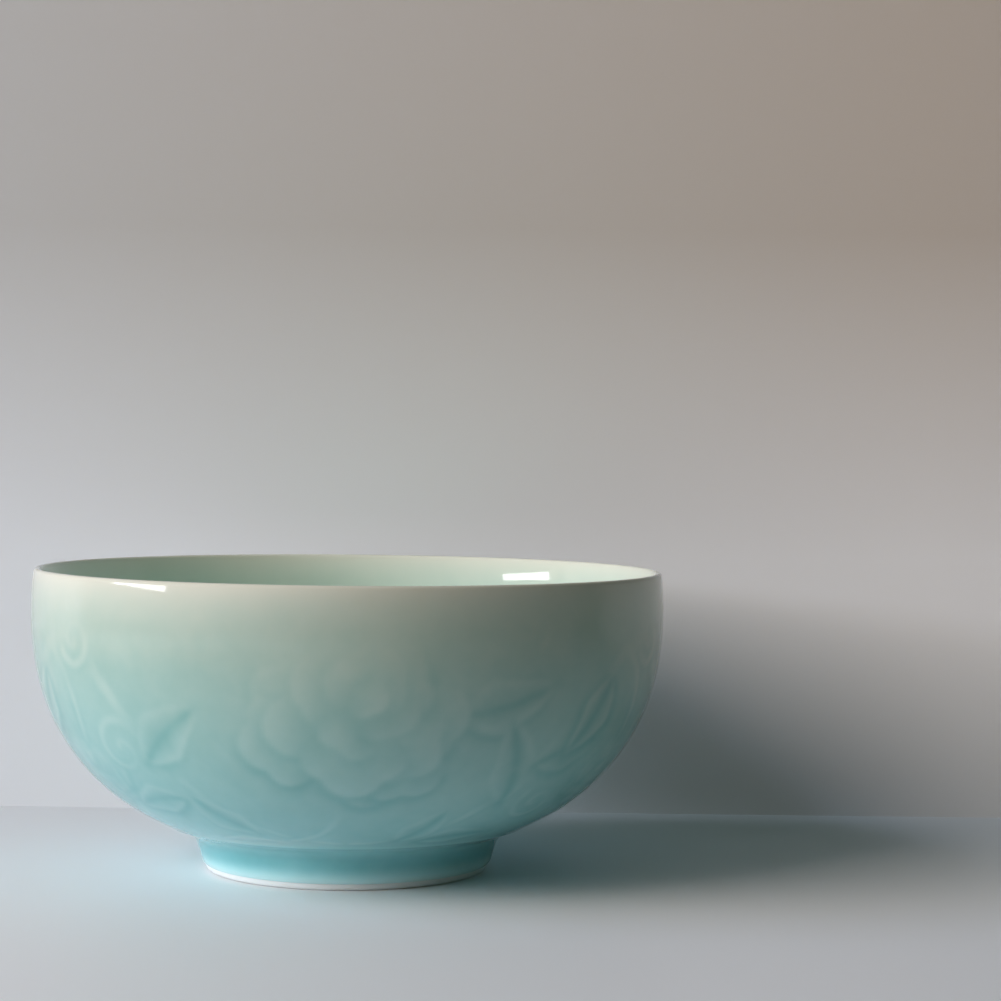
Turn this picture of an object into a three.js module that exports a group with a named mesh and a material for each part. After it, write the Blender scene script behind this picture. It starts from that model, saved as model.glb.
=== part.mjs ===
// A small porcelain rice bowl on a foot ring, with a coat of celadon glaze outside, inside and
// under the foot. Millimetres, +Z up. The bowl turns about Z and its foot stands on the plane Z = 0.
import * as THREE from "three";

// ---------------------------------------------------------------- driving dimensions
const HEIGHT = 55.5; // table to the top of the lip
const RIM_RADIUS = 57.8; // outside of the lip
const LIP_RADIUS = 0.65; // roundness of the lip, half its thickness

const BELLY_HEIGHT = 47.5; // where the wall is widest
const BELLY_RADIUS = 58.2; // outside of the wall at that height
const WELL_RADIUS = 55.6; // inside of the wall at that height
const WELL_FLOOR = 10; // lowest point inside the bowl
const FLAT_FLOOR_RADIUS = 9; // the middle of the well floor is flat out to here

const FOOT_HEIGHT = 6.6; // table to the seat where the foot joins the bowl
const FOOT_TOP_RADIUS = 28.2; // outside of the foot at the seat
const FOOT_TABLE_RADIUS = 26.3; // the same slope run on down to the table
const FOOT_INSIDE_RADIUS = 22.9;
const FOOT_EDGE_RADIUS = 0.9; // rounding of the foot's two lower edges
const BARE_HEIGHT = 1.2; // the foot is wiped clean of glaze below this

const GLAZE = 0.4; // thickness of every coat
const GAP = 0.05; // hairline between fused layers, so that each is a solid of its own

// The wall is a quarter of a superellipse from the belly down, one outside and one inside. Each
// would reach the axis at the height "floor".
const OUTSIDE = { belly: BELLY_RADIUS, floor: 3.66, powerR: 2.62, powerZ: 2.17 };
const INSIDE = { belly: WELL_RADIUS, floor: WELL_FLOOR, powerR: 2.8, powerZ: 2.3 };
const WALL_START_RADIUS = 29.2; // the outside of the wall springs from the foot here

// From the belly up to the lip the outside leans in and the inside opens out, faster and faster.
const LEAN_IN_POWER = 3;
const OPEN_OUT_POWER = 2.3;

// Facets
const AROUND = 64;
const WALL_STEPS = 10;
const SHOULDER_STEPS = 3;
const LIP_STEPS = 4; // even, so that one facet edge is the very top of the lip
const EDGE_STEPS = 2;

// ---------------------------------------------------------------- curves of the profile
const point = (r, z) => new THREE.Vector2(r, z);

// Numbers from 0 to 1 in equal steps.
const ramp = (count) => Array.from({ length: count + 1 }, (_, i) => i / count);

// Point of a wall at angle t, which is 0 at the belly and a right angle on the axis.
function wallPoint({ belly, floor, powerR, powerZ }, t) {
  const r = belly * Math.cos(t) ** (2 / powerR);
  const z = BELLY_HEIGHT - (BELLY_HEIGHT - floor) * Math.sin(t) ** (2 / powerZ);
  return point(r, z);
}

// Angle at which a wall reaches the radius r.
const wallAngle = ({ belly, powerR }, r) => Math.acos((r / belly) ** (powerR / 2));

// Points of a wall from the belly down to the radius r.
function wallDownTo(wall, r) {
  const end = wallAngle(wall, r);
  return ramp(WALL_STEPS).map((i) => wallPoint(wall, end * i));
}

const lipCentre = point(RIM_RADIUS - LIP_RADIUS, HEIGHT - LIP_RADIUS);

// Points between the belly and the lip, from below, on a side that runs from one radius to another.
function shoulder(bellyRadius, lipRadius, power) {
  return ramp(SHOULDER_STEPS)
    .slice(1, -1)
    .map((rise) => {
      const r = bellyRadius + (lipRadius - bellyRadius) * rise ** power;
      return point(r, BELLY_HEIGHT + (lipCentre.y - BELLY_HEIGHT) * rise);
    });
}

// Outside of the glazed foot at a height. The bare porcelain is set in by a coat and a hairline.
function footSide(z) {
  const slope = (FOOT_TOP_RADIUS - FOOT_TABLE_RADIUS) / FOOT_HEIGHT;
  return point(FOOT_TABLE_RADIUS + slope * z, z);
}

const bareFootSide = (z) => footSide(z).sub(point(GLAZE + GAP, 0));

// Glazed surface from the bare edge of the foot up the outside, over the lip and down the inside
// to the height of the belly, where the two coats meet.
function outerSurface() {
  const foot = [footSide(BARE_HEIGHT), footSide(FOOT_HEIGHT)];
  const wall = wallDownTo(OUTSIDE, WALL_START_RADIUS).toReversed();
  const leanIn = shoulder(BELLY_RADIUS, RIM_RADIUS, LEAN_IN_POWER);
  const lip = ramp(LIP_STEPS).map((i) => {
    const turn = Math.PI * i;
    return point(Math.cos(turn), Math.sin(turn)).multiplyScalar(LIP_RADIUS).add(lipCentre);
  });
  const openOut = shoulder(WELL_RADIUS, lipCentre.x - LIP_RADIUS, OPEN_OUT_POWER).toReversed();
  return [...foot, ...wall, ...leanIn, ...lip, ...openOut, point(WELL_RADIUS, BELLY_HEIGHT)];
}

// Glazed surface of the well from just under that meeting down to the axis.
function wellSurface() {
  const wall = wallDownTo(INSIDE, FLAT_FLOOR_RADIUS).slice(1);
  wall.at(-1).y = WELL_FLOOR;
  return [point(WELL_RADIUS, BELLY_HEIGHT - GAP), ...wall, point(0, WELL_FLOOR)];
}

// The unit direction to the left of the way from one point to another.
function leftOf(from, to) {
  const along = to.clone().sub(from).normalize();
  return point(-along.y, along.x);
}

// A path moved to its left, with every stretch kept at the same distance from where it was.
function moveLeft(path, distance) {
  const sides = path.slice(1).map((here, i) => leftOf(path[i], here));
  return path.map((here, i) => {
    const before = sides[Math.max(i - 1, 0)];
    const after = sides[Math.min(i, sides.length - 1)];
    const mitre = before.clone().add(after).multiplyScalar(distance / (1 + before.dot(after)));
    return here.clone().add(mitre);
  });
}

// ---------------------------------------------------------------- from profile to piece

// A loop as a lathe needs it: from the axis to the axis if it has a side there, else closed.
function latheProfile(loop) {
  const start = loop.findIndex((p, i) => p.x === 0 && loop.at(i - 1).x === 0);
  return start < 0 ? [...loop, loop[0]] : [...loop.slice(start), ...loop.slice(0, start)];
}

// Turns a loop about Z, taken anticlockwise so that the faces point out.
function turned(name, loop, material) {
  const anticlockwise = THREE.ShapeUtils.area(loop) > 0 ? loop : loop.toReversed();
  const geometry = new THREE.LatheGeometry(latheProfile(anticlockwise), AROUND);
  geometry.rotateX(Math.PI / 2);
  const mesh = new THREE.Mesh(geometry, material);
  mesh.name = name;
  return mesh;
}

// A coat of glaze, whose surface has the clay on its left.
function coat(name, surface, material) {
  return turned(name, [...surface, ...moveLeft(surface, GLAZE).toReversed()], material);
}

const ceramic = (color, roughness) => new THREE.MeshStandardMaterial({ color, roughness, metalness: 0 });

// ---------------------------------------------------------------- pieces

// The thrown bowl: wall, lip and floor, with a flat seat below for the foot.
function bowlBody() {
  const surface = [...outerSurface(), ...wellSurface().slice(1)];
  const clay = moveLeft(surface, GLAZE + GAP).slice(1);
  const loop = [point(0, FOOT_HEIGHT), bareFootSide(FOOT_HEIGHT), ...clay];
  return turned("bowl_body", loop, ceramic(0xf1eee6, 0.55));
}

// The ring the bowl stands on, with a flat land between its two rounded lower edges.
function footRing() {
  const roundedEdge = (side) =>
    ramp(EDGE_STEPS).map((i) => {
      const turn = (Math.PI / 2) * i;
      return point(side * Math.sin(turn), 1 - Math.cos(turn)).multiplyScalar(FOOT_EDGE_RADIUS);
    });
  const outerEdge = bareFootSide(FOOT_EDGE_RADIUS).x - FOOT_EDGE_RADIUS;
  const innerEdge = FOOT_INSIDE_RADIUS + FOOT_EDGE_RADIUS;
  const top = FOOT_HEIGHT - GAP;
  const loop = [
    ...roundedEdge(1).map((p) => point(outerEdge + p.x, p.y)),
    bareFootSide(top),
    point(FOOT_INSIDE_RADIUS, top),
    ...roundedEdge(-1).toReversed().map((p) => point(innerEdge + p.x, p.y)),
  ];
  return turned("foot_ring", loop, ceramic(0xeae5da, 0.7));
}

// The coat on the outside: foot, wall, lip and the first few millimetres inside.
function outerGlaze() {
  return coat("outer_glaze", outerSurface(), ceramic(0xa6c4b8, 0.08));
}

function innerGlaze() {
  return coat("inner_glaze", wellSurface(), ceramic(0x9fc2b4, 0.08));
}

// The coat under the bowl and down the inside of the foot ring.
function recessGlaze() {
  const ceiling = FOOT_HEIGHT - GAP - GLAZE;
  const side = FOOT_INSIDE_RADIUS - GAP - GLAZE;
  const surface = [point(0, ceiling), point(side, ceiling), point(side, BARE_HEIGHT)];
  return coat("recess_glaze", surface, ceramic(0x8fb9b0, 0.1));
}

const bowl = new THREE.Group();
bowl.add(bowlBody(), footRing(), outerGlaze(), innerGlaze(), recessGlaze());
export default bowl;
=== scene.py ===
"""A small porcelain rice bowl with carved flowers under a pale green celadon glaze.

Lengths are in millimetres until a mesh is made, and each piece is then in metres in the CAD frame.
"""
import math

import bpy
import numpy as np
from mathutils import Matrix, Vector


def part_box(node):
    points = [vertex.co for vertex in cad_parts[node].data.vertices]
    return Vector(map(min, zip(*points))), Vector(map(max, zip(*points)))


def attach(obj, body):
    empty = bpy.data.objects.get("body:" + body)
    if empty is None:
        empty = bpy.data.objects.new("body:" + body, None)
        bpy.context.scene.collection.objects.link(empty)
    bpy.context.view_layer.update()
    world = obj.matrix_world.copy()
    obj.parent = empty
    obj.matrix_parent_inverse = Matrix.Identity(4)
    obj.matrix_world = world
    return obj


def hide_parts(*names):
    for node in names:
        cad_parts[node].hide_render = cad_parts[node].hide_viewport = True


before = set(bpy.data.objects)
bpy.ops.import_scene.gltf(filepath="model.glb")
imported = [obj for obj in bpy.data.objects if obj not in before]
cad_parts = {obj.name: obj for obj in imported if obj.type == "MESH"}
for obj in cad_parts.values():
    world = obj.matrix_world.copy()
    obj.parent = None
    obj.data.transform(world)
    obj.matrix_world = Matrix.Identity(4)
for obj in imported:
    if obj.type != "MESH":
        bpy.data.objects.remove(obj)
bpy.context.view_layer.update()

MM = 0.001

# ---------------------------------------------------------------- sizes from the CAD frame


def corners(node):
    """Lowest and highest corner of a CAD node, in millimetres."""
    low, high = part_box(node)
    return low / MM, high / MM


coat_low, coat_high = corners("outer_glaze")
body_low, _ = corners("bowl_body")
well_low, well_high = corners("inner_glaze")
_, ring_high = corners("foot_ring")
_, recess_high = corners("recess_glaze")

COAT = 0.4  # thickness of every coat of glaze
HAIRLINE = body_low.z - ring_high.z  # between fused layers
HEIGHT = coat_high.z
BELLY_RADIUS = coat_high.x
BELLY_HEIGHT = well_high.z + HAIRLINE  # the widest height, where the two coats meet inside
WELL_RADIUS = well_high.x - COAT  # inside of the wall at the belly
WELL_FLOOR = well_low.z + COAT
FOOT_HEIGHT = body_low.z
FOOT_TOP_RADIUS = ring_high.x + COAT + HAIRLINE
BARE_HEIGHT = coat_low.z
FOOT_INSIDE_RADIUS = recess_high.x + HAIRLINE
RECESS_RADIUS = recess_high.x - COAT
RECESS_CEILING = recess_high.z - COAT

# ---------------------------------------------------------------- sizes of the shape between

RIM_RADIUS = 57.8
LIP_RADIUS = 0.65
FOOT_TAPER = 0.288  # how much the foot widens for each millimetre up
FOOT_EDGE_RADIUS = 0.9
WALL_START_RADIUS = 29.2  # where the curve of the outer wall starts, just outside the foot
OUTSIDE_CURVE = dict(belly=BELLY_RADIUS, floor=3.66, power_r=2.62, power_z=2.17)
INSIDE_CURVE = dict(belly=WELL_RADIUS, floor=WELL_FLOOR, power_r=2.8, power_z=2.3)
LEAN_IN_POWER, LEAN_IN_TILT = 3, math.radians(9.3)
OPEN_OUT_POWER, OPEN_OUT_TILT = 2.3, math.radians(15.7)
FOOT_FILLET = 1.5  # softness of the corner between the foot and the wall
FILLET_REACH = 2.5  # how far along the skin that corner is softened
EDGE_SOFTNESS = 0.1  # softness of every other change of direction
TURNED_LINE_RADIUS = 33.2  # a fine ridge left by the turning tool, outside the foot
TURNED_LINE_HEIGHT, TURNED_LINE_WIDTH = 0.1, 0.45

# ---------------------------------------------------------------- carving
CARVED_FROM, CARVED_TO = 8.6, 51.0  # heights between which the wall is carved
CARVE_DEPTH = 0.5
CLAY_BLUR, GLAZE_BLUR = 0.45, 1.0  # softness of the carved edges, and of the glaze over them
GLAZE_FOLLOWS = 0.3  # how far the surface of the glaze follows the carving under it
GROUND_CUT = 0.18  # how far the ground between flowers and stems is cut back
BEVEL, STEM_BEVEL = 3.6, 2.4  # how far a slanting cut runs out
CUT_REACH = 8  # how far beyond a shape the cut round it is drawn
FADE_LOW, FADE_HIGH = 5, 12  # over which the carving fades out at its lower and upper edge
PATTERN_STEP = 0.25  # raster of the pattern
REPEATS = 3
FIRST_BLOSSOM = 0.29  # place of the first blossom round the bowl, as a share of a repeat
SEED = 11

# The pattern is drawn on a flat strip that the wall is an angle-true map of: x runs round the
# belly, and y is stretched where the bowl is narrow, so that flowers shrink towards the foot.
# The tables below hold one repeat, in millimetres on the strip, with x from its middle and y from
# the top of the foot.
STRIP_LENGTH = 2 * math.pi * BELLY_RADIUS
HALF_REPEAT = STRIP_LENGTH / REPEATS / 2
CREST, TROUGH = 68, 17  # highest and lowest place of the waving stem
# Halves of the waving stem: four points of a Bezier curve, and the width at each end.
WAVING_STEM = [
    ([(-HALF_REPEAT, CREST), (-40, 66), (-34, TROUGH), (0, TROUGH)], 2.4, 2.0),
    ([(0, TROUGH), (30, TROUGH), (42, 66), (HALF_REPEAT, CREST)], 2.0, 2.4),
]
# The stalk of the blossom and of the bud: four points of a Bezier curve, and the width.
STALKS = [
    ([(-16, 19), (-6, 22), (-3, 30), (-2, 40)], 1.6),
    ([(HALF_REPEAT - 6, 67), (HALF_REPEAT + 4, 64), (HALF_REPEAT + 3, 52), (HALF_REPEAT, 46)], 1.4),
]
# Tendrils: x and y of the centre, the angle in radians where it starts, and the radius.
TENDRILS = [
    (-48, 48, 0.6, 6.5),
    (-56, 68, 3.6, 4.5),
    (44, 34, 2.4, 6.0),
    (30, 72, 5.4, 4.5),
]
TENDRIL_TURNS = 1.35
TENDRIL_WIDTHS = 1.6, 0.9
# Leaves: x and y of the stalk's end, direction in degrees, length, width and bend.
LEAVES = [
    (-42, 46, 40, 19, 11, 0.10),
    (-38, 36, 196, 18, 10, -0.10),
    (-24, 23, 128, 20, 11, 0.12),
    (-20, 16, 186, 22, 9, -0.12),
    (12, 19, 60, 18, 10, -0.10),
    (17, 57, 14, 21, 11, -0.10),
    (18, 18, 8, 22, 10, 0.12),
    (33, 36, 104, 21, 11, -0.12),
    (37, 46, 14, 18, 11, 0.10),
    (52, 62, 240, 17, 9, 0.10),
]
STEM_DEPTH, LEAF_HOLLOW = 0.6 * CARVE_DEPTH, 0.8 * CARVE_DEPTH
VEIN_DEPTH, VEIN_WIDTH = 0.25 * CARVE_DEPTH, 0.5
# The bud and the blossom: x, y and radius.
BLOSSOMS = [
    (HALF_REPEAT, 40, 9.5),
    (0, 54, 20),
]
BLOSSOM_SQUASH = 0.82  # height of a ring of petals for its width
# Rings of petals from the back of a blossom to its heart: how many, then how far out, and each
# petal's length, width and rise, as shares of the blossom's radius.
PETAL_RINGS = [
    (6, 0.60, 0.90, 1.04, 0.0),
    (5, 0.42, 0.84, 0.90, 0.1),
    (4, 0.22, 0.66, 0.70, 0.26),
    (2, 0.10, 0.40, 0.46, 0.36),
]
PETAL_STRAYS = 0.24  # how far a petal may turn from its place, as a share of the gap between two
PETAL_SIZES = 0.84, 1.12  # smallest and largest, as a share of the size in the table
PETAL_LOBES = [3, 4, 5]


# ---------------------------------------------------------------- profile curves


def superellipse(belly, floor, power_r, power_z, end_radius, count=500):
    """Radius and height from the belly down to a radius, along a quarter of a superellipse."""
    turn = np.linspace(0, math.acos((end_radius / belly) ** (power_r / 2)), count)
    r = belly * np.cos(turn) ** (2 / power_r)
    z = BELLY_HEIGHT - (BELLY_HEIGHT - floor) * np.sin(turn) ** (2 / power_z)
    return np.column_stack([r, z])


def rise_to(belly, end, power, count=80):
    """From the belly up to a point of the lip, leaning faster and faster."""
    rise = np.linspace(0, 1, count)
    r = belly + (end[0] - belly) * rise**power
    return np.column_stack([r, BELLY_HEIGHT + (end[1] - BELLY_HEIGHT) * rise])


def lip_curve(count=60):
    turn = np.linspace(LEAN_IN_TILT, math.pi - OPEN_OUT_TILT, count)
    centre = np.array([RIM_RADIUS - LIP_RADIUS, HEIGHT - LIP_RADIUS])
    return centre + LIP_RADIUS * np.column_stack([np.cos(turn), np.sin(turn)])


def skin_outline():
    """Glazed surface from the foot's bare edge up the outside, over the lip and down to the axis."""
    z = np.linspace(BARE_HEIGHT, FOOT_HEIGHT, 60)
    foot = np.column_stack([FOOT_TOP_RADIUS - FOOT_TAPER * (FOOT_HEIGHT - z), z])
    wall = superellipse(**OUTSIDE_CURVE, end_radius=WALL_START_RADIUS)[::-1]
    lip = lip_curve()
    lean_in = rise_to(BELLY_RADIUS, lip[0], LEAN_IN_POWER)
    open_out = rise_to(WELL_RADIUS, lip[-1], OPEN_OUT_POWER)[::-1]
    well = superellipse(**INSIDE_CURVE, end_radius=0)
    well[-1, 0] = 0
    return np.concatenate([foot, wall, lean_in, lip, open_out, well])


def blur_along(values, sigma, step):
    """A Gaussian blur along a path, which keeps straight ends straight."""
    reach = int(4 * sigma / step)
    weights = np.exp(-0.5 * (np.arange(-reach, reach + 1) * step / sigma) ** 2)
    padded = np.pad(values, reach, mode="reflect", reflect_type="odd")
    return np.convolve(padded, weights / weights.sum(), mode="valid")


class Path:
    """A smooth outline, read by the distance along it."""

    STEP = 0.05

    def __init__(self, outline, softness):
        gaps = np.hypot(*np.diff(outline, axis=0).T)
        outline = outline[np.concatenate([[True], gaps > 1e-6])]
        along = np.concatenate([[0], np.cumsum(np.hypot(*np.diff(outline, axis=0).T))])
        self.s = np.linspace(0, along[-1], int(along[-1] / self.STEP) + 1)
        self.r = np.interp(self.s, along, outline[:, 0])
        self.z = np.interp(self.s, along, outline[:, 1])
        for sigma, weight in softness(self):
            self.r += weight * (blur_along(self.r, sigma, self.STEP) - self.r)
            self.z += weight * (blur_along(self.z, sigma, self.STEP) - self.z)
        self.find_normals()

    def find_normals(self):
        """The normal to the right of the way, which is out of the clay."""
        dr, dz = np.gradient(self.r), np.gradient(self.z)
        length = np.hypot(dr, dz)
        self.nr, self.nz = dz / length, -dr / length

    def push(self, amount):
        """Moves every point along its normal."""
        self.r = self.r + amount * self.nr
        self.z = self.z + amount * self.nz
        self.find_normals()

    def at(self, s):
        return tuple(np.interp(s, self.s, v) for v in (self.r, self.z, self.nr, self.nz))

    def where(self, condition):
        """Distance along the path of the first point that meets a condition."""
        return self.s[np.argmax(condition)]


def skin_softness(path):
    from_corner = path.s - path.where(path.r >= FOOT_TOP_RADIUS)
    at_foot = np.exp(-((from_corner / FILLET_REACH) ** 2))
    return [(FOOT_FILLET, at_foot), (EDGE_SOFTNESS, 1.0)]


def skin_path():
    path = Path(skin_outline(), skin_softness)
    from_line = path.s - path.where(path.r >= TURNED_LINE_RADIUS)
    path.push(TURNED_LINE_HEIGHT * np.exp(-((from_line / TURNED_LINE_WIDTH) ** 2)))
    return path


skin = skin_path()
S_JUNCTION = skin.where(skin.r >= FOOT_TOP_RADIUS)
S_CARVED = (skin.where(skin.z >= CARVED_FROM), skin.where(skin.z >= CARVED_TO))
S_TOP = skin.s[np.argmax(skin.z)]
S_SEAM = skin.where((skin.s > S_TOP) & (skin.z <= BELLY_HEIGHT))
S_END = skin.s[-1]

# Height on the pattern's strip of each point of the skin, from the top of the foot. Near the axis,
# where there is no carving, the stretch is held down.
STRETCH_UNTIL_RADIUS = 5
stretch = BELLY_RADIUS / np.maximum(skin.r, STRETCH_UNTIL_RADIUS)
strip_y = np.concatenate([[0], np.cumsum(stretch[1:] * np.diff(skin.s))])
strip_y -= np.interp(S_JUNCTION, skin.s, strip_y)


def strip_height(s):
    return np.interp(s, skin.s, strip_y)


STRIP_FROM, STRIP_TO = strip_height(np.array(S_CARVED))

# ---------------------------------------------------------------- pattern


class Strip:
    """Height of the carved clay on the flat strip: 0 uncarved, negative where it is cut away."""

    def __init__(self):
        self.columns = int(round(STRIP_LENGTH / PATTERN_STEP))
        self.rows = int(round(STRIP_TO / PATTERN_STEP)) + 4
        self.height = np.full((self.rows, self.columns), -GROUND_CUT)

    def change(self, centre, reach, new_height):
        """Replaces the height near a centre by new_height(x, y, height), with x and y from there."""
        across = np.arange(-int(reach / PATTERN_STEP), int(reach / PATTERN_STEP) + 1)
        across += int(round(centre[0] / PATTERN_STEP))
        low = max(0, int((centre[1] - reach) / PATTERN_STEP))
        high = min(self.rows, int((centre[1] + reach) / PATTERN_STEP) + 1)
        up = np.arange(low, high)
        x, y = np.meshgrid(across * PATTERN_STEP - centre[0], up * PATTERN_STEP - centre[1])
        where = np.ix_(up, across % self.columns)
        self.height[where] = new_height(x, y, self.height[where])

    def stamp(self, shape, centre, reach, depth, bevel, hollow=0.0):
        """Lays a shape on the clay, with a slanting cut round it that is deepest on its low side.

        shape(x, y) gives the distance to the edge, negative inside, and how high the clay stands
        there, from 0 for hollow to 1 for level.
        """

        def laid(x, y, behind):
            distance, lift = shape(x, y)
            low_side = 0.5 - 0.5 * y / (np.hypot(x, y) + 1e-6)
            cut = depth * (0.35 + 0.65 * low_side) * np.exp(-np.maximum(distance, 0) / bevel)
            return np.where(distance < 0, -hollow * (1 - lift), np.minimum(behind, -cut))

        self.change(centre, reach, laid)

    def groove(self, points, depth, width):
        """A fine round-bottomed groove along points."""
        middle = points.mean(0)
        line = ribbon(points - middle, 0, 0)

        def grooved(x, y, height):
            return height - depth * np.exp(-((line(x, y)[0] / width) ** 2))

        self.change(middle, np.abs(points - middle).max() + 3 * width, grooved)


def smooth(value, low=0.0, high=1.0):
    """0 below low and 1 above high, with a soft rise between."""
    t = np.clip((value - low) / (high - low), 0, 1)
    return t * t * (3 - 2 * t)


def turned_axes(x, y, angle):
    """Coordinates along and across a direction."""
    return x * math.cos(angle) + y * math.sin(angle), y * math.cos(angle) - x * math.sin(angle)


def petal(angle, length, width, lobes):
    """A petal pointing at an angle, narrow and sunk at its foot, with a scalloped outer edge."""

    def shape(x, y):
        u, v = turned_axes(x, y, angle)
        u, v = u / (length / 2), v / (width / 2)
        around = np.arctan2(v, u)
        outer = 0.5 + 0.5 * np.cos(around)
        edge = 0.84 + 0.16 * outer + 0.24 * outer * (np.abs(np.cos(around * lobes / 2)) - 0.64)
        return (np.hypot(u, v) - edge) * min(length, width) / 2, smooth(0.5 + 0.5 * u, 0.1, 0.95)

    return shape


def leaf(angle, length, width, bend):
    """A pointed leaf with soft lobes, bent to one side. Both halves slope down to its middle vein."""

    def shape(x, y):
        u, v = turned_axes(x, y, angle)
        t = np.clip(u / length, 0, 1)
        v = v - bend * length * t * (1 - t) * 2
        lobed = 1 - 0.13 * np.abs(np.sin(2.5 * math.pi * t))
        half = width / 2 * np.sin(math.pi * t**0.75) * lobed
        beyond = np.maximum(np.maximum(-u, u - length), 0)
        over = np.abs(v) - half
        distance = np.hypot(np.maximum(over, 0), beyond) + np.minimum(over, 0)
        from_vein = np.abs(v) / (half + 0.2)
        lift = np.where(v > 0, 0.25 + 0.6 * smooth(from_vein), smooth(from_vein))
        return distance, lift

    return shape


def bezier(points, count=40):
    """Points of a cubic Bezier curve."""
    t = np.linspace(0, 1, count)[:, None]
    a, b, c, d = (np.array(p, float) for p in points)
    return a * (1 - t) ** 3 + 3 * b * t * (1 - t) ** 2 + 3 * c * t**2 * (1 - t) + d * t**3


def spiral(start_angle, turns, radius, count=40):
    """A tendril that winds in to its centre."""
    t = np.linspace(0, 1, count)
    turn = start_angle + 2 * math.pi * turns * t
    reach = radius * (1 - t) ** 0.8 + 0.3
    return np.column_stack([np.cos(turn), np.sin(turn)]) * reach[:, None]


def ribbon(points, start_width, end_width):
    """A level band along points, tapering from one width to another."""

    def shape(x, y):
        best = np.full(x.shape, 1e9)
        shares = np.linspace(0, 1, len(points) - 1)
        for (ax, ay), (bx, by), share in zip(points[:-1], points[1:], shares):
            dx, dy = bx - ax, by - ay
            t = np.clip(((x - ax) * dx + (y - ay) * dy) / (dx * dx + dy * dy + 1e-9), 0, 1)
            width = start_width + (end_width - start_width) * share
            best = np.minimum(best, np.hypot(x - ax - t * dx, y - ay - t * dy) - width / 2)
        return best, np.ones_like(best)

    return shape


def draw_stem(strip, points, start_width, end_width):
    middle = points.mean(0)
    shape = ribbon(points - middle, start_width, end_width)
    reach = np.abs(points - middle).max() + CUT_REACH
    strip.stamp(shape, middle, reach, STEM_DEPTH, STEM_BEVEL)


def draw_leaf(strip, x, y, degrees, length, width, bend):
    """A leaf from its stalk at x, y, with a groove for its middle vein."""
    angle = math.radians(degrees)
    shape = leaf(angle, length, width, bend)
    strip.stamp(shape, (x, y), length + CUT_REACH, CARVE_DEPTH, BEVEL, LEAF_HOLLOW)
    t = np.linspace(0.04, 0.85, 20)
    along, across = length * t, bend * length * t * (1 - t) * 2
    vein_x = x + along * math.cos(angle) - across * math.sin(angle)
    vein_y = y + along * math.sin(angle) + across * math.cos(angle)
    strip.groove(np.column_stack([vein_x, vein_y]), VEIN_DEPTH, VEIN_WIDTH)


def draw_blossom(strip, random, x, y, radius):
    """A full blossom, its scalloped petals laid in rings from the back to the heart."""
    for count, out, length, width, rise in PETAL_RINGS:
        first = random.uniform(0, 2 * math.pi)
        for i in range(count):
            angle = first + 2 * math.pi * (i + random.uniform(-PETAL_STRAYS, PETAL_STRAYS)) / count
            size = radius * random.uniform(*PETAL_SIZES)
            shape = petal(angle, length * size, width * size, random.choice(PETAL_LOBES))
            centre_x = x + radius * out * math.cos(angle)
            centre_y = y + radius * (out * math.sin(angle) * BLOSSOM_SQUASH + rise)
            depth = CARVE_DEPTH * (0.5 + 0.7 * out)
            strip.stamp(shape, (centre_x, centre_y), radius, depth, BEVEL, 0.9 * depth)


def draw_repeat(strip, random, x):
    """One repeat of the scroll: a blossom over the trough of a waving stem, with leaves and a bud."""
    for points, start_width, end_width in WAVING_STEM:
        draw_stem(strip, bezier(points, 60) + (x, 0), start_width, end_width)
    for points, width in STALKS:
        draw_stem(strip, bezier(points) + (x, 0), width, width)
    for tendril_x, tendril_y, start_angle, radius in TENDRILS:
        curl = spiral(start_angle, TENDRIL_TURNS, radius)
        draw_stem(strip, curl + (x + tendril_x, tendril_y), *TENDRIL_WIDTHS)
    for stalk_x, stalk_y, degrees, length, width, bend in LEAVES:
        draw_leaf(strip, x + stalk_x, stalk_y, degrees, length, width, bend)
    for blossom_x, blossom_y, radius in BLOSSOMS:
        draw_blossom(strip, random, x + blossom_x, blossom_y, radius)


def strip_edges(strip):
    """1 in the carved band, fading to 0 just inside its edges."""
    y = np.arange(strip.rows) * PATTERN_STEP
    from_below = smooth(y, STRIP_FROM, STRIP_FROM + FADE_LOW)
    from_above = 1 - smooth(y, STRIP_TO - FADE_HIGH, STRIP_TO)
    return (from_below * from_above)[:, None]


def blur_strip(field, sigma):
    """A Gaussian blur of the strip, which joins its two ends."""
    reach = int(3 * sigma / PATTERN_STEP) + 1
    weights = np.exp(-0.5 * (np.arange(-reach, reach + 1) * PATTERN_STEP / sigma) ** 2)
    weights /= weights.sum()
    across = np.pad(field, ((0, 0), (reach, reach)), mode="wrap")
    across = sum(w * across[:, i : i + field.shape[1]] for i, w in enumerate(weights))
    up = np.pad(across, ((reach, reach), (0, 0)), mode="edge")
    return sum(w * up[i : i + field.shape[0]] for i, w in enumerate(weights))


def carved_strip():
    """Height of the carved clay, and of the surface of the glaze over it."""
    random = np.random.default_rng(SEED)
    strip = Strip()
    for i in range(REPEATS):
        draw_repeat(strip, random, STRIP_LENGTH * (i + FIRST_BLOSSOM) / REPEATS)
    clay = blur_strip(strip.height * strip_edges(strip), CLAY_BLUR)
    return clay, GLAZE_FOLLOWS * blur_strip(clay, GLAZE_BLUR)


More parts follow.
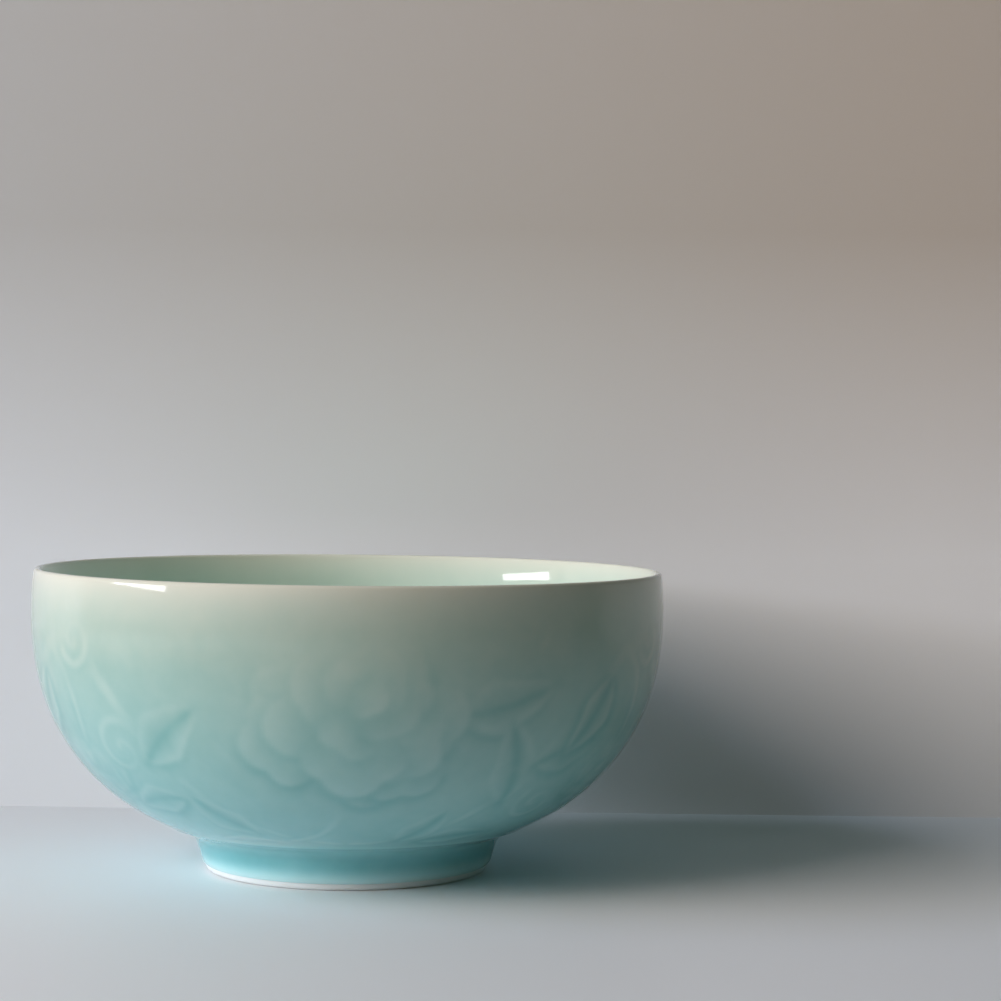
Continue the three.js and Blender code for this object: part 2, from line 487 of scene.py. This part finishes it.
def read_strip(field, s, turn):
    """Value of a strip field on the bowl, with s along the skin and turn round the axis."""
    row = np.clip(strip_height(s) / PATTERN_STEP, 0, field.shape[0] - 1.001)
    column = (turn / (2 * math.pi) * field.shape[1]) % field.shape[1]
    i, j = np.floor(row).astype(int), np.floor(column).astype(int)
    u, v = (row - i)[:, None], (column - j)[None, :]
    i, j, k = i[:, None], j[None, :] % field.shape[1], (j[None, :] + 1) % field.shape[1]
    low = field[i, j] * (1 - v) + field[i, k] * v
    high = field[i + 1, j] * (1 - v) + field[i + 1, k] * v
    value = low * (1 - u) + high * u
    return np.where((s >= S_JUNCTION)[:, None] & (s <= S_TOP)[:, None], value, 0)


# ---------------------------------------------------------------- meshes


def turned_mesh(name, rings_r, rings_z, depth=None, sharp=()):
    """A mesh of rings round Z. Rings of radius 0 at both ends make poles, else the rings close.

    rings_r and rings_z hold a row for each ring. depth is the glaze's depth at the same points,
    and sharp lists the rings whose edge is a corner.
    """
    rings, columns = rings_r.shape
    turn = np.arange(columns) * 2 * math.pi / columns
    co = np.stack([rings_r * np.cos(turn), rings_r * np.sin(turn), rings_z], -1) * MM
    poles = bool(rings_r[0].max() < 1e-6)
    index = np.arange(rings * columns).reshape(rings, columns)
    if poles:
        index[0] = index[0, 0]
        index[-1] = index[-1, 0]
        lower, upper = index[:-1], index[1:]
    else:
        lower, upper = index, np.roll(index, -1, axis=0)
    quads = np.stack([lower, np.roll(lower, -1, 1), np.roll(upper, -1, 1), upper], -1).reshape(-1, 4)
    used, flat = np.unique(quads, return_inverse=True)
    quads = flat.reshape(-1, 4)
    faces = [list(dict.fromkeys(q)) for q in quads.tolist()]
    mesh = bpy.data.meshes.new(name)
    mesh.from_pydata(co.reshape(-1, 3)[used].tolist(), [], faces)
    mesh.update()
    mesh.polygons.foreach_set("use_smooth", np.ones(len(faces), bool))
    if depth is not None:
        attribute = mesh.attributes.new("glaze_depth", "FLOAT", "POINT")
        attribute.data.foreach_set("value", depth.reshape(-1)[used].astype(np.float32))
    if len(sharp):
        ring_of = used // columns
        ends = np.zeros(len(mesh.edges) * 2, np.int32)
        mesh.edges.foreach_get("vertices", ends)
        a, b = ring_of[ends[0::2]], ring_of[ends[1::2]]
        marks = mesh.attributes.new("sharp_edge", "BOOLEAN", "EDGE")
        marks.data.foreach_set("value", (a == b) & np.isin(a, [i % rings for i in sharp]))
    piece = bpy.data.objects.new(name, mesh)
    bpy.context.scene.collection.objects.link(piece)
    return piece


def spaced(*stretches):
    """Distances along a path: each stretch is (end, spacing), after a first start."""
    start = stretches[0]
    out = [np.array([start])]
    for end, spacing in stretches[1:]:
        count = max(1, int(round((end - start) / spacing)))
        out.append(np.linspace(start, end, count + 1)[1:])
        start = end
    return np.concatenate(out)


def rows_of(path, s, offset=0.0):
    """Rings at distances s along a path, moved out along its normals by offset, a number or a grid."""
    r, z, nr, nz = (v[:, None] for v in path.at(s))
    return r + offset * nr, z + offset * nz


def join(*parts):
    return tuple(np.concatenate(p) for p in zip(*parts))


# ---------------------------------------------------------------- depth of the glaze
# Depth decides the colour: thin glaze shows the white clay, and deep glaze is green.
LIP_DEPTH, BELLY_DEPTH, FOOT_DEPTH = 0.04, 0.44, 0.42
BARE_LIP = 0.3  # on each side of the lip's top, where the glaze is thinnest
RUN_OFF, RUN_OFF_POWER = 6.0, 1.2  # how far below that it has run off, and how suddenly it ends
POOL_REACH = 3.0  # how far the pool round the foot runs up the wall
CARVE_TINT = 1.15  # how strongly the carving changes the depth
BARE_FADE = 3.6  # over which it fades in above the bare edge of the foot


def outside_depth(s):
    """Depth of the glaze along the outside: thin at the lip, pooled at the foot, none at the bare edge."""
    below_lip = np.maximum(np.abs(s - S_TOP) - BARE_LIP, 0)
    run_off = 1 - np.exp(-((below_lip / RUN_OFF) ** RUN_OFF_POWER))
    pool = FOOT_DEPTH * np.exp(-np.maximum(s - S_JUNCTION, 0) / POOL_REACH)
    depth = LIP_DEPTH + (BELLY_DEPTH - LIP_DEPTH) * run_off + pool
    return depth * smooth(s, 0, BARE_FADE)


# ---------------------------------------------------------------- pieces

COLUMNS = 520  # round the carved coat
PLAIN_COLUMNS = 360  # round every other piece
EDGE_LEFT, EDGE_ROUND = 0.12, 0.8  # thickness of a coat at its rounded edge, and how far that runs
WELL_MIDDLE = 6  # radius of the middle of the well, whose rings are spaced on their own
WELL_DEEPENS = 0.1  # how much deeper the glaze is at the middle of the well than at the seam
# Where rings lie closer: below and above the top of the foot, and on each side of the lip's top.
FOOT_ROWS = 1.6, 1.8
LIP_ROWS, BODY_LIP_ROWS = 1.4, 1.6
CLAY_STARTS = 0.3  # how far above the foot's corner the face of the clay bowl starts
RECESS_FILLET = 1.4
RECESS_DEPTH, RECESS_POOL, RECESS_POOL_REACH = 0.55, 0.4, 2.5
RECESS_FADE = 2.0  # over which the glaze in the recess fades out at the bare edge


def turns(columns):
    return np.arange(columns) * 2 * math.pi / columns


def rounded_edge(from_edge):
    """How much a coat has thinned, by the distance from its edge."""
    share = np.clip(from_edge / EDGE_ROUND, 0, 1)
    return (COAT - EDGE_LEFT) * (1 - np.sqrt(1 - (1 - share) ** 2))


def outer_coat(clay, glaze):
    """The coat outside, over the lip and down to the seam. Its underside lies on the carved clay."""
    s = spaced(
        0.0,
        (S_JUNCTION - FOOT_ROWS[0], 0.6),
        (S_JUNCTION + FOOT_ROWS[1], 0.34),
        (S_CARVED[0], 0.55),
        (S_CARVED[1], 0.56),
        (S_TOP - LIP_ROWS, 0.8),
        (S_TOP + LIP_ROWS, 0.2),
        (S_SEAM, 1.5),
    )
    top_relief = read_strip(glaze, s, turns(COLUMNS))
    surface = rows_of(skin, s, top_relief - rounded_edge(s)[:, None])
    under_s = spaced(
        S_SEAM,
        (S_TOP + LIP_ROWS, -3),
        (S_TOP - LIP_ROWS, -0.7),
        (S_CARVED[1], -3),
        (S_CARVED[0], -2.2),
        (0.0, -2.5),
    )
    under_relief = read_strip(clay, under_s, turns(COLUMNS))
    underside = rows_of(skin, under_s, under_relief - COAT)
    pooled = top_relief - read_strip(clay, s, turns(COLUMNS))
    depth = outside_depth(s)[:, None] * (1 + CARVE_TINT * (pooled - pooled.mean()) / CARVE_DEPTH)
    depth = np.concatenate([depth, np.full(underside[0].shape, COAT)])
    sharp = [0, len(s) - 1, len(s), len(s) + len(under_s) - 1]
    return turned_mesh("glaze_outside", *join(surface, underside), depth, sharp)


def inner_coat():
    """The coat in the well, from its underside at the axis out to the seam and back on its face."""
    s = spaced(S_SEAM, (S_END - WELL_MIDDLE, 0.8), (S_END, 0.8))
    rings = join(rows_of(skin, s[::-1], -COAT), rows_of(skin, s))
    r, z = (np.repeat(v, PLAIN_COLUMNS, 1) for v in rings)
    r[0] = r[-1] = 0
    down = (s - S_SEAM) / (S_END - S_SEAM)
    face_depth = outside_depth(s[:1]) + WELL_DEEPENS * down
    depth = np.concatenate([np.full(len(s), COAT), face_depth])
    depth = np.repeat(depth[:, None], PLAIN_COLUMNS, 1)
    return turned_mesh("glaze_inside", r, z, depth, [len(s) - 1, len(s)])


def carved_body(clay):
    """The bowl of clay, from the middle of its flat seat out, up, over the lip and down the well."""
    s = spaced(
        S_JUNCTION + CLAY_STARTS,
        (S_CARVED[0], 0.7),
        (S_CARVED[1], 0.7),
        (S_TOP - BODY_LIP_ROWS, 0.9),
        (S_TOP + BODY_LIP_ROWS, 0.3),
        (S_SEAM, 1.0),
        (S_END, 1.2),
    )
    relief = read_strip(clay, s, turns(PLAIN_COLUMNS))
    surface = rows_of(skin, s, relief - COAT - HAIRLINE)
    seat_r = np.concatenate([[0], np.linspace(2, FOOT_TOP_RADIUS - COAT - HAIRLINE, 14)])
    seat_z = np.full(len(seat_r), FOOT_HEIGHT)
    seat = [np.repeat(v[:, None], PLAIN_COLUMNS, 1) for v in (seat_r, seat_z)]
    r, z = join(seat, surface)
    r[-1] = 0
    return turned_mesh("clay_body", r, z, sharp=[len(seat_r) - 1])


def round_corner(centre, radius, start, end, count=7):
    turn = np.linspace(start, end, count)
    return np.column_stack([centre[0] + radius * np.cos(turn), centre[1] + radius * np.sin(turn)])


def foot_ring():
    """The ring of the foot: rounded bare rim below, flat where it joins the bowl."""
    side = FOOT_TOP_RADIUS - COAT - HAIRLINE
    low = side - FOOT_TAPER * (FOOT_HEIGHT - FOOT_EDGE_RADIUS)
    edge = FOOT_EDGE_RADIUS
    top = FOOT_HEIGHT - HAIRLINE
    outer = round_corner((low - edge, edge), edge, -math.pi / 2, 0)
    inner = round_corner((FOOT_INSIDE_RADIUS + edge, edge), edge, math.pi, 1.5 * math.pi)
    outside = np.column_stack([np.linspace(low, side, 10), np.linspace(edge, top, 10)])[1:]
    inside = np.column_stack([np.full(8, FOOT_INSIDE_RADIUS), np.linspace(top, edge, 8)])[:-1]
    loop = np.concatenate([outer, outside, inside, inner])
    r, z = (np.repeat(loop[:, i : i + 1], PLAIN_COLUMNS, 1) for i in (0, 1))
    top_inside = len(outer) + len(outside)
    return turned_mesh("clay_foot", r, z, sharp=[top_inside - 1, top_inside])


def recess_coat():
    """The coat under the bowl: a ceiling with a soft pooled corner, and the inside of the foot."""
    corner_r, corner_z = RECESS_RADIUS - RECESS_FILLET, RECESS_CEILING - RECESS_FILLET
    corner = round_corner((corner_r, corner_z), RECESS_FILLET, math.pi / 2, 0)
    ceiling = np.column_stack([np.linspace(0, corner_r, 18), np.full(18, RECESS_CEILING)])[:-1]
    side_z = np.linspace(corner_z, BARE_HEIGHT, 9)[1:]
    side = np.column_stack([RECESS_RADIUS + rounded_edge(side_z - BARE_HEIGHT), side_z])
    back_r, back_z = RECESS_RADIUS + COAT, recess_high.z
    back = [(back_r, BARE_HEIGHT), (back_r, back_z), (0, back_z)]
    loop = np.concatenate([ceiling, corner, side, back])
    r, z = (np.repeat(loop[:, i : i + 1], PLAIN_COLUMNS, 1) for i in (0, 1))
    from_edge = np.concatenate([loop[:-3, 1] - BARE_HEIGHT, [0, COAT, COAT]])
    from_corner = (loop[:, 0] - RECESS_RADIUS + 1) / RECESS_POOL_REACH
    depth = RECESS_DEPTH + RECESS_POOL * np.exp(-(from_corner**2))
    depth = depth * np.clip(from_edge / RECESS_FADE, 0, 1)
    depth = np.repeat(depth[:, None], PLAIN_COLUMNS, 1)
    count = len(loop)
    return turned_mesh("glaze_recess", r, z, depth, [count - 4, count - 3, count - 2])


# ---------------------------------------------------------------- materials


class Nodes:
    """Short ways to build the node tree of a material or of the world."""

    def __init__(self, owner, output_kind):
        owner.use_nodes = True
        self.owner = owner
        self.tree = owner.node_tree
        self.tree.nodes.clear()
        self.output = self.add(output_kind)

    def add(self, kind, **settings):
        node = self.tree.nodes.new(kind)
        for key, value in settings.items():
            setattr(node, key, value)
        return node

    def link(self, source, target):
        self.tree.links.new(source, target)

    def feed(self, socket, value):
        if hasattr(value, "is_output"):
            self.link(value, socket)
        else:
            socket.default_value = value

    def math(self, operation, *values):
        node = self.add("ShaderNodeMath", operation=operation)
        for socket, value in zip(node.inputs, values):
            self.feed(socket, value)
        return node.outputs[0]

    def noise(self, size, detail=2.0, roughness=0.5):
        """Noise whose features are about size millimetres, from 0 to 1."""
        place = self.add("ShaderNodeTexCoord").outputs["Object"]
        node = self.add("ShaderNodeTexNoise")
        self.link(place, node.inputs["Vector"])
        node.inputs["Scale"].default_value = 1 / (size * MM)
        node.inputs["Detail"].default_value = detail
        node.inputs["Roughness"].default_value = roughness
        return node.outputs["Fac"]

    def axis_share(self, axis, low, high):
        """0 at low millimetres along an axis of the object, and 1 at high."""
        place = self.add("ShaderNodeSeparateXYZ")
        self.link(self.add("ShaderNodeTexCoord").outputs["Object"], place.inputs[0])
        share = self.add("ShaderNodeMapRange")
        self.link(place.outputs[axis], share.inputs["Value"])
        share.inputs["From Min"].default_value = low * MM
        share.inputs["From Max"].default_value = high * MM
        return share.outputs["Result"]

    def blend(self, share, first, second):
        """The first colour where share is 0 and the second where it is 1."""
        mix = self.add("ShaderNodeMix", data_type="RGBA")
        self.feed(mix.inputs["Factor"], share)
        for socket, colour in ((mix.inputs["A"], first), (mix.inputs["B"], second)):
            self.feed(socket, colour if hasattr(colour, "is_output") else (*colour, 1))
        return mix.outputs["Result"]

    def spread(self, value, low, high):
        """Maps 0 to 1 onto low to high."""
        return self.math("MULTIPLY_ADD", value, high - low, low)

    def bump(self, height, distance, strength=1.0):
        node = self.add("ShaderNodeBump")
        self.link(height, node.inputs["Height"])
        node.inputs["Distance"].default_value = distance * MM
        node.inputs["Strength"].default_value = strength
        return node.outputs["Normal"]

    def principled(self, **inputs):
        node = self.add("ShaderNodeBsdfPrincipled")
        for key, value in inputs.items():
            self.feed(node.inputs[key.replace("_", " ")], value)
        self.link(node.outputs["BSDF"], self.output.inputs["Surface"])
        return node


def material_nodes(name):
    return Nodes(bpy.data.materials.new(name), "ShaderNodeOutputMaterial")


WHITE_CLAY = (0.86, 0.85, 0.82)
# The outside is warm and grey near the lip and a bright cool sea green near the foot: partly the
# glaze's own colour, partly painted light, warm from above and cool from the floor below. Whether
# that is the glaze or the light on it is not known, and the tint holds both.
LIP_TINT_AND_WARM_LIGHT, FOOT_TINT_AND_COOL_LIGHT = (0.722, 0.706, 0.595), (0.63, 0.93, 0.955)
TINT_FROM, TINT_TO = 5.0, 44.0  # heights between which one passes into the other
WELL_TINT = (0.68, 0.79, 0.73)
ABSORBED = (1.6, 0.75, 0.70)  # for each millimetre of depth, by red, green and blue
CLOUD_SIZE, SPECK_SIZE = 14, 3.5  # of the broad and the fine mottling, in millimetres
SHEEN_SIZE, GLAZE_ROUGH = 5, (0.03, 0.09)  # size of the patches of sheen, and least and most rough
RIPPLE_SIZE, RIPPLE_HEIGHT, RIPPLE_STRENGTH = 2.2, 0.01, 0.6  # of the faint waves on the glaze
BARE_CLAY = (0.86, 0.91, 0.93)
BLOTCH = (0.97, 0.955, 0.93)  # colour of the blotches in bare clay, as a share of its own
BLOTCH_SIZE, MATTE_SIZE = 6, 1.2  # of the blotches and of the patches of sheen
GRAIN_HEIGHT, GRAIN_STRENGTH = 0.03, 0.5
PORCELAIN_IOR = 1.5  # of the clay and the glaze


def celadon(name, low_tint_and_light, high_tint_and_light, cloud=0.2):
    """Glossy glaze. It is opaque, and looks translucent because its colour follows its depth. Its colour
    also changes with height, which holds painted light.
    """
    n = material_nodes(name)
    depth = n.add("ShaderNodeAttribute", attribute_name="glaze_depth").outputs["Fac"]
    clouds = n.spread(n.noise(CLOUD_SIZE, 3), -cloud, cloud)
    specks = n.spread(n.noise(SPECK_SIZE), -cloud / 2, cloud / 2)
    mottled = n.math("ADD", clouds, specks)
    depth = n.math("MULTIPLY", depth, n.math("ADD", mottled, 1.0))
    colour = n.add("ShaderNodeCombineColor")
    for socket, low, high, absorbed in zip(colour.inputs, low_tint_and_light, high_tint_and_light, ABSORBED):
        # Partly painted light: the colour passes with height from the low colour to the high one.
        tint_and_light = n.spread(n.axis_share("Z", TINT_FROM, TINT_TO), low, high)
        passed = n.math("EXPONENT", n.math("MULTIPLY", depth, -absorbed))
        n.link(n.math("MULTIPLY", passed, tint_and_light), socket)
    n.principled(
        Base_Color=colour.outputs[0],
        Roughness=n.spread(n.noise(SHEEN_SIZE, 3), *GLAZE_ROUGH),
        IOR=PORCELAIN_IOR,
        Normal=n.bump(n.noise(RIPPLE_SIZE), RIPPLE_HEIGHT, RIPPLE_STRENGTH),
    )
    return n.owner


def bare_clay(name, colour, rough, grain):
    """Unglazed white porcelain: fine grain, faint warm blotches and a matte face."""
    n = material_nodes(name)
    blotched = tuple(part * share for part, share in zip(colour, BLOTCH))
    n.principled(
        Base_Color=n.blend(n.noise(BLOTCH_SIZE, 4), colour, blotched),
        Roughness=n.spread(n.noise(MATTE_SIZE, 3), rough - 0.1, rough + 0.1),
        IOR=PORCELAIN_IOR,
        Normal=n.bump(n.noise(grain, 3), GRAIN_HEIGHT, GRAIN_STRENGTH),
    )
    return n.owner


# ---------------------------------------------------------------- the bowl

clay_relief, glaze_relief = carved_strip()


def place(piece, node, slot, material):
    piece.data.materials.append(material)
    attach(piece, "root")
    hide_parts(node)


def make_bowl():
    clay = bare_clay("porcelain", WHITE_CLAY, rough=0.5, grain=0.4)
    place(carved_body(clay_relief), "bowl_body", "porcelain", clay)
    clay = bare_clay("bare_porcelain", BARE_CLAY, rough=0.62, grain=0.35)
    place(foot_ring(), "foot_ring", "bare_foot", clay)
    glaze = celadon("celadon_outside", FOOT_TINT_AND_COOL_LIGHT, LIP_TINT_AND_WARM_LIGHT)
    place(outer_coat(clay_relief, glaze_relief), "outer_glaze", "outer_celadon", glaze)
    glaze = celadon("celadon_inside", WELL_TINT, LIP_TINT_AND_WARM_LIGHT)
    place(inner_coat(), "inner_glaze", "inner_celadon", glaze)
    glaze = celadon("celadon_recess", FOOT_TINT_AND_COOL_LIGHT, FOOT_TINT_AND_COOL_LIGHT, cloud=0.15)
    place(recess_coat(), "recess_glaze", "recess_celadon", glaze)


# ---------------------------------------------------------------- stage

# Lengths of the stage are in metres, but for the places on the wall where its colour changes.
STAGE_SIZE = 2.0
STAGE_FADES = 0.28, 0.62  # distances from the origin between which the floor and the wall fade out
FLOOR_COLOUR = (0.85, 0.87, 0.885)
FAR_COLOUR = (0.47, 0.47, 0.48)  # what is seen beyond the stage
BACKDROP_BEHIND = 0.069  # behind the bowl's axis
CAMERA_PLACE = Vector((0.0278, -0.45, 0.07815))
CAMERA_DOWN = math.radians(1.243)
CAMERA_ROLL = math.radians(0.67)
CAMERA_LENS = 87.19
# Painted light and shade on the wall, brighter low down: its colours at left and right, low and high, and
# the millimetres where they change.
WALL_LOW_PAINTED_LIGHT = (0.74, 0.77, 0.80), (0.96, 0.95, 0.94)
WALL_HIGH_PAINTED_SHADE = (0.51, 0.51, 0.50), (0.61, 0.54, 0.47)
WALL_ACROSS, WALL_UP = (-80, 120), (55, 125)
# Lamps: name, place and aim in metres, width and height, watts, colour, and whether it is reflected.
LAMPS = [
    ("window", (-1.2, -0.34, 0.285), (1, 0, 0), (0.54, 0.13), 3.0, (1.0, 1.0, 1.0), True),
    ("soft", (-0.80, -0.36, 0.5), (0.80, 0.36, -0.5), (0.9, 0.7), 10.3, (0.74, 0.79, 1.0), False),
    ("warm", (-0.69, -0.48, 0.47), (0.69, 0.48, -0.47), (0.5, 0.5), 2.6, (1.0, 0.68, 0.20), False),
    ("well", (0, 0, (HEIGHT + 9) * MM), (0, 0, -1), (0.056, 0.056), 0.014, (0.95, 1.0, 0.96), False),
]
# Colour of the room toward each side: axis, sign of the direction, and colour.
ROOM = [
    ("X", -1, (0.09, 0.09, 0.09)),
    ("X", 1, (0.02, 0.055, 0.04)),
    ("Y", -1, (0.038, 0.030, 0.008)),
    ("Y", 1, (0.15, 0.28, 0.34)),
    ("Z", 1, (0.06, 0.06, 0.045)),
]


def sheet(name, corners_of_sheet, material):
    mesh = bpy.data.meshes.new(name)
    mesh.from_pydata(corners_of_sheet, [], [(0, 1, 2, 3)])
    mesh.materials.append(material)
    made = bpy.data.objects.new(name, mesh)
    bpy.context.scene.collection.objects.link(made)
    return made


def clear_where(n, shader, hidden):
    """Lets a stage material vanish where hidden is 1."""
    clear = n.add("ShaderNodeBsdfTransparent")
    mix = n.add("ShaderNodeMixShader")
    n.link(hidden, mix.inputs["Fac"])
    n.link(shader.outputs["BSDF"], mix.inputs[1])
    n.link(clear.outputs["BSDF"], mix.inputs[2])
    n.link(mix.outputs["Shader"], n.output.inputs["Surface"])


def far_away(n):
    """0 near the bowl, and 1 beyond the edge of the stage."""
    distance = n.add("ShaderNodeVectorMath", operation="LENGTH")
    n.link(n.add("ShaderNodeTexCoord").outputs["Object"], distance.inputs[0])
    share = n.add("ShaderNodeMapRange", interpolation_type="SMOOTHSTEP")
    n.link(distance.outputs["Value"], share.inputs["Value"])
    share.inputs["From Min"].default_value = STAGE_FADES[0]
    share.inputs["From Max"].default_value = STAGE_FADES[1]
    return share.outputs["Result"]


def floor_material():
    n = material_nodes("pale_floor")
    shader = n.principled(Base_Color=(*FLOOR_COLOUR, 1), Roughness=0.5)
    clear_where(n, shader, far_away(n))
    return n.owner


def wall_material():
    """Painted light and shade: brighter low down, darker and warm high on the right, and clear from
    behind.
    """
    n = material_nodes("pale_wall")
    to_right = n.axis_share("X", *WALL_ACROSS)
    low, high = n.blend(to_right, *WALL_LOW_PAINTED_LIGHT), n.blend(to_right, *WALL_HIGH_PAINTED_SHADE)
    shader = n.principled(Base_Color=n.blend(n.axis_share("Z", *WALL_UP), low, high), Roughness=0.9)
    behind = n.add("ShaderNodeNewGeometry").outputs["Backfacing"]
    clear_where(n, shader, n.math("MAXIMUM", behind, far_away(n)))
    return n.owner


def make_floor():
    half = STAGE_SIZE / 2
    square = [(-half, -half, 0), (half, -half, 0), (half, half, 0), (-half, half, 0)]
    sheet("floor", square, floor_material())


def make_backdrop():
    """A wall close behind the bowl, with painted light and shade, seen only from the front. It casts no
    light or shadow.
    """
    half, y = STAGE_SIZE / 2, BACKDROP_BEHIND
    upright = [(-half, y, 0), (half, y, 0), (half, y, half), (-half, y, half)]
    wall = sheet("backdrop", upright, wall_material())
    wall.visible_diffuse = False
    wall.visible_shadow = False


def area_light(name, place_at, aim, size, power, colour, reflected):
    """A rectangular lamp shining along a direction, itself out of sight."""
    data = bpy.data.lights.new(name, "AREA")
    data.shape = "RECTANGLE"
    data.size, data.size_y = size
    data.energy = power
    data.color = colour
    lamp = bpy.data.objects.new(name, data)
    lamp.location = place_at
    lamp.rotation_euler = Vector(aim).to_track_quat("-Z", "Y").to_euler()
    lamp.visible_camera = False
    lamp.visible_glossy = reflected
    bpy.context.scene.collection.objects.link(lamp)


def make_lights():
    """A low bright window on the left, a broad cool light over it, a warm one nearer the front, and
    a weak one over the mouth in place of the light that comes through thin porcelain."""
    for lamp in LAMPS:
        area_light(*lamp)


def make_world():
    """A room with its own light from each side, each fading into the next, seen as a plain grey."""
    world = bpy.data.worlds.new("studio")
    n = Nodes(world, "ShaderNodeOutputWorld")
    direction = n.add("ShaderNodeSeparateXYZ")
    n.link(n.add("ShaderNodeTexCoord").outputs["Generated"], direction.inputs[0])
    total = (0.0, 0.0, 0.0)
    for axis, sign, colour in ROOM:
        toward = n.math("MAXIMUM", n.math("MULTIPLY", direction.outputs[axis], sign), 0.0)
        part = n.add("ShaderNodeVectorMath", operation="SCALE")
        part.inputs[0].default_value = colour
        n.link(n.math("MULTIPLY", toward, toward), part.inputs["Scale"])
        added = n.add("ShaderNodeVectorMath", operation="ADD")
        n.feed(added.inputs[0], total)
        n.link(part.outputs[0], added.inputs[1])
        total = added.outputs[0]
    seen = n.add("ShaderNodeLightPath").outputs["Is Camera Ray"]
    background = n.add("ShaderNodeBackground")
    n.link(n.blend(seen, total, FAR_COLOUR), background.inputs["Color"])
    n.link(background.outputs[0], n.output.inputs["Surface"])
    bpy.context.scene.world = world


def make_camera():
    data = bpy.data.cameras.new("camera")
    data.lens = CAMERA_LENS
    camera = bpy.data.objects.new("camera", data)
    camera.location = CAMERA_PLACE
    tilt = Matrix.Rotation(math.pi / 2 - CAMERA_DOWN, 4, "X")
    camera.rotation_euler = (tilt @ Matrix.Rotation(CAMERA_ROLL, 4, "Z")).to_euler()
    bpy.context.scene.collection.objects.link(camera)
    bpy.context.scene.camera = camera


make_bowl()
make_floor()
make_backdrop()
make_lights()
make_world()
make_camera()
bpy.context.scene.view_settings.view_transform = "Standard"
